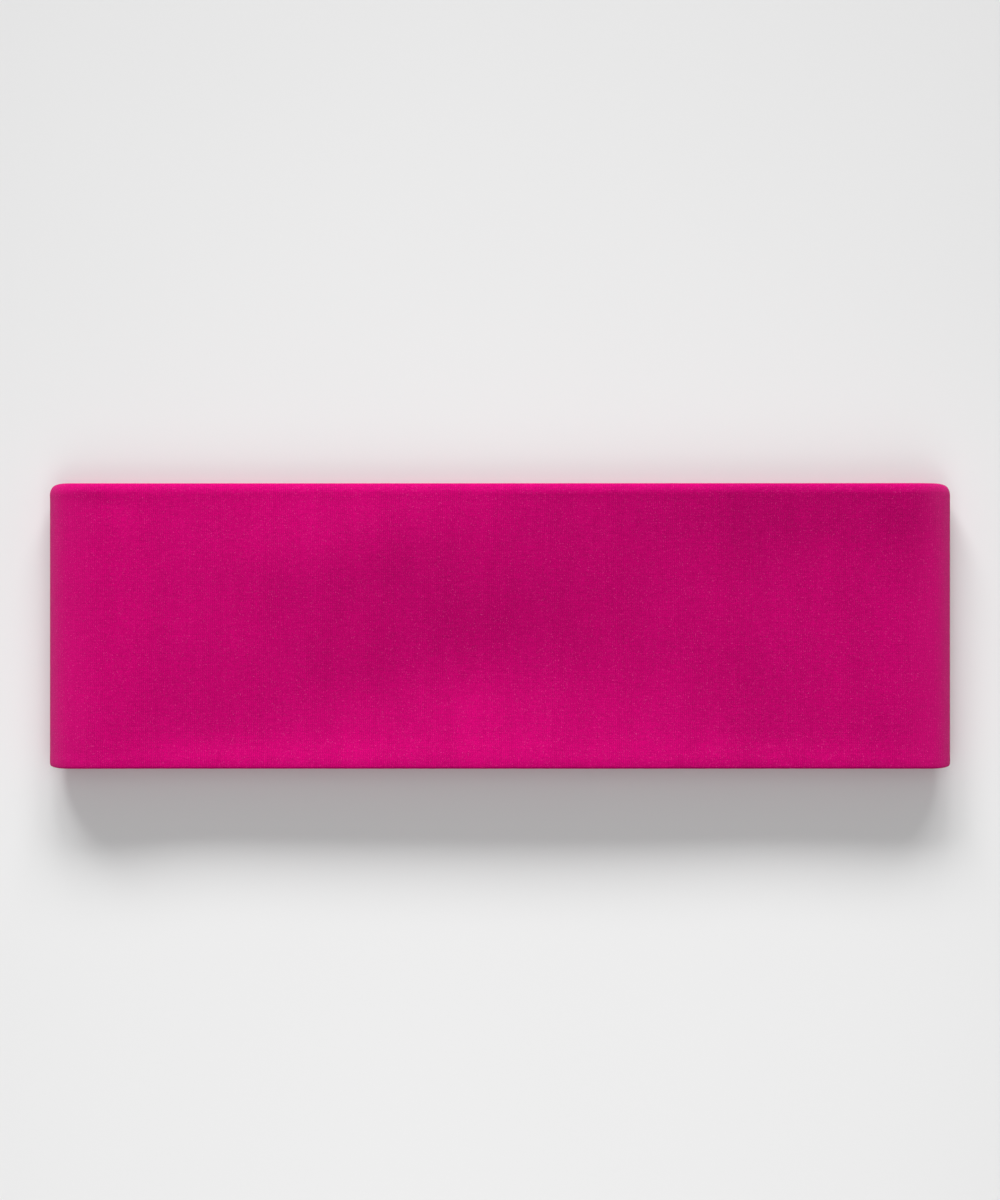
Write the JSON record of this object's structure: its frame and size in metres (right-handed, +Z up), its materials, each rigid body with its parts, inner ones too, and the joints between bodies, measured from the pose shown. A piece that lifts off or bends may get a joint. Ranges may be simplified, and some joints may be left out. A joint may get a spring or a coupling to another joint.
{
  "type": "sports headband",
  "caption": "Wide two-layer knit sports headband, a closed loop laid flat with a front panel over a back panel, rolled long edges and a lined inner face.",
  "frame": {"origin": "under the middle of the flat band, on the surface that it lies on: X = 0 is the centre-back seam, Y = 0 the middle of the band's width, Z = 0 the underside of the back panel", "axes": "+X along the flat band from end fold to end fold, +Y across its width (the axis of the loop, which the head goes through), +Z up, out of the front panel"},
  "size_m": [0.222, 0.0702, 0.012],
  "materials": {
    "shell_knit": "smooth double knit, raspberry pink, soft low sheen",
    "lining_knit": "brushed knit, matte, a little darker than the shell",
    "sewing_thread": "textured polyester thread, pink, soft sheen",
    "label_satin": "off-white satin tape, blank"
  },
  "bodies": {
    "root": {"outer_shell": "shell_knit", "lining": "lining_knit", "upper_lining_seam": "sewing_thread", "lower_lining_seam": "sewing_thread", "shell_back_seam": "sewing_thread", "lining_back_seam": "sewing_thread", "closing_stitches": "sewing_thread", "care_label": "label_satin"}
  },
  "joints": []
}
